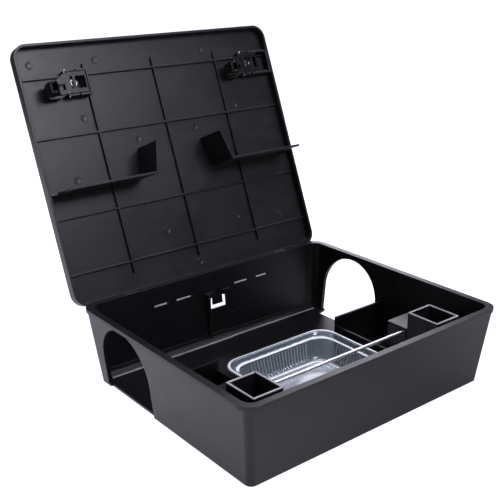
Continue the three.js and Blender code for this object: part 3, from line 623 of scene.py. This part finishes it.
# a mark's section from its outside in: radius, and height above the lid's inner face
MARK_SECTION = [
    (3.9, -0.05), (3.7, 0.2), (3.4, 0.32), (3.1, 0.3), (2.7, 0.14), (2.3, 0.1), (0.2, 0.08)
]


def make_ejector_marks():
    shape = bmesh.new()
    for u, v in EJECTOR_MARKS:
        made = []
        for radius, height in MARK_SECTION:
            ring = []
            for i in range(MARK_SIDES):
                a = 2 * math.pi * i / MARK_SIDES
                across = u + radius * math.cos(a)
                along = LID_HEEL_Y - v + radius * math.sin(a)
                local = Vector((across, along, LID_INNER_Z - height))
                ring.append(shape.verts.new(LID_PLACE @ (local * MM)))
            made.append(ring)
        for first, second in zip(made, made[1:]):
            for i in range(MARK_SIDES):
                j = (i + 1) % MARK_SIDES
                shape.faces.new((first[i], first[j], second[j], second[i]))
        shape.faces.new(made[-1])
    mesh = bpy.data.meshes.new("lid_ejector_marks")
    bmesh.ops.recalc_face_normals(shape, faces=shape.faces)
    shape.to_mesh(mesh)
    shape.free()
    for polygon in mesh.polygons:
        polygon.use_smooth = True
    settle(new_object("lid_ejector_marks", mesh, BLACK), "lid", "black_plastic")


make_ejector_marks()

# ---- studio ---------------------------------------------------------------------


STUDIO_TINT = (1.0, 0.975, 1.1)
FLOOR_RADIUS = 1.3
FLOOR_SIDES = 96
FLOOR_DROP = 0.0002  # how far the floor lies under the object
FLOOR_SEEN = 0.95  # brightness to the camera
FLOOR_GLOW = 0.75  # and for the light it throws
FLAG_GLOW = 0.0  # the same at the middle of the dimmed patch
FLAG_PLACE = (0.1, -0.19)
FLAG_REACH = (0.36, 0.3)
WORLD_SEEN = 1.1
WORLD_DIM = 0.1


def make_floor():
    """A round pale sheet that glows softly. The camera sees it white, and the light
    that it throws on the object is dimmer in a patch in front, as a flag would make it."""
    n = Nodes("studio_floor")
    material = n.material
    n.set(Roughness=0.9)
    n.shader.inputs["Base Color"].default_value = (0.4, 0.4, 0.4, 1)
    n.shader.inputs["Emission Color"].default_value = (*STUDIO_TINT, 1)
    spot = n.add("ShaderNodeMapping", vector_type="TEXTURE")
    spot.inputs["Location"].default_value = (*FLAG_PLACE, 0)
    spot.inputs["Scale"].default_value = (*FLAG_REACH, 1)
    n.link(n.place, spot.inputs["Vector"])
    shade = n.add("ShaderNodeTexGradient", gradient_type="SPHERICAL")
    n.link(spot.outputs["Vector"], shade.inputs["Vector"])
    thrown = n.spread(shade.outputs["Fac"], 0, 1, FLOOR_GLOW, FLAG_GLOW)
    seen = n.add("ShaderNodeMapRange")
    n.link(n.add("ShaderNodeLightPath").outputs["Is Camera Ray"], seen.inputs["Value"])
    n.link(thrown, seen.inputs["To Min"])
    seen.inputs["To Max"].default_value = FLOOR_SEEN
    n.link(seen.outputs["Result"], n.shader.inputs["Emission Strength"])
    shape = bmesh.new()
    rim = []
    for i in range(FLOOR_SIDES):
        a = 2 * math.pi * i / FLOOR_SIDES
        x, y = FLOOR_RADIUS * math.cos(a), FLOOR_RADIUS * math.sin(a)
        rim.append(shape.verts.new((x, y, -FLOOR_DROP)))
    shape.faces.new(rim)
    mesh = bpy.data.meshes.new("studio_floor")
    shape.to_mesh(mesh)
    shape.free()
    new_object("studio_floor", mesh, material)


def soft_light(name, place, target, size, power):
    data = bpy.data.lights.new(name, "AREA")
    data.shape = "RECTANGLE"
    data.size, data.size_y = size
    data.energy = power
    data.color = STUDIO_TINT
    light = bpy.data.objects.new(name, data)
    bpy.context.scene.collection.objects.link(light)
    aim = (Vector(target) - Vector(place)).to_track_quat("-Z", "Y")
    light.matrix_world = Matrix.Translation(Vector(place)) @ aim.to_matrix().to_4x4()


def make_world():
    """White where the camera sees it, dim for the light it throws."""
    world = bpy.data.worlds.new("studio")
    bpy.context.scene.world = world
    world.use_nodes = True
    tree = world.node_tree
    background = tree.nodes["Background"]
    background.inputs["Color"].default_value = (*STUDIO_TINT, 1)
    path = tree.nodes.new("ShaderNodeLightPath")
    strength = tree.nodes.new("ShaderNodeMapRange")
    strength.inputs["To Min"].default_value = WORLD_DIM
    strength.inputs["To Max"].default_value = WORLD_SEEN
    tree.links.new(path.outputs["Is Camera Ray"], strength.inputs["Value"])
    tree.links.new(strength.outputs["Result"], background.inputs["Strength"])


make_floor()
make_world()
soft_light("overhead", (0, 0, 1.7), (0, 0, 0), (0.9, 0.9), 11)
soft_light("front", (0.34, -1.35, 1.42), (-0.08, 0.2, 0.25), (0.9, 0.7), 21)
soft_light("right_top", (1.0, 0.1, 1.45), (0, 0, 0.1), (0.5, 0.5), 6)
soft_light("rear_top", (-0.1, 1.4, 1.4), (0, 0, 0.1), (0.9, 0.4), 8)
soft_light("side", (-1.6, 0.3, 0.7), (0, 0, 0.1), (0.7, 0.9), 4)
soft_light("rear_right", (1.2, 1.6, 0.9), (0, 0, 0.08), (1.3, 0.9), 14)
make_camera()
bpy.context.scene.view_settings.view_transform = "Standard"
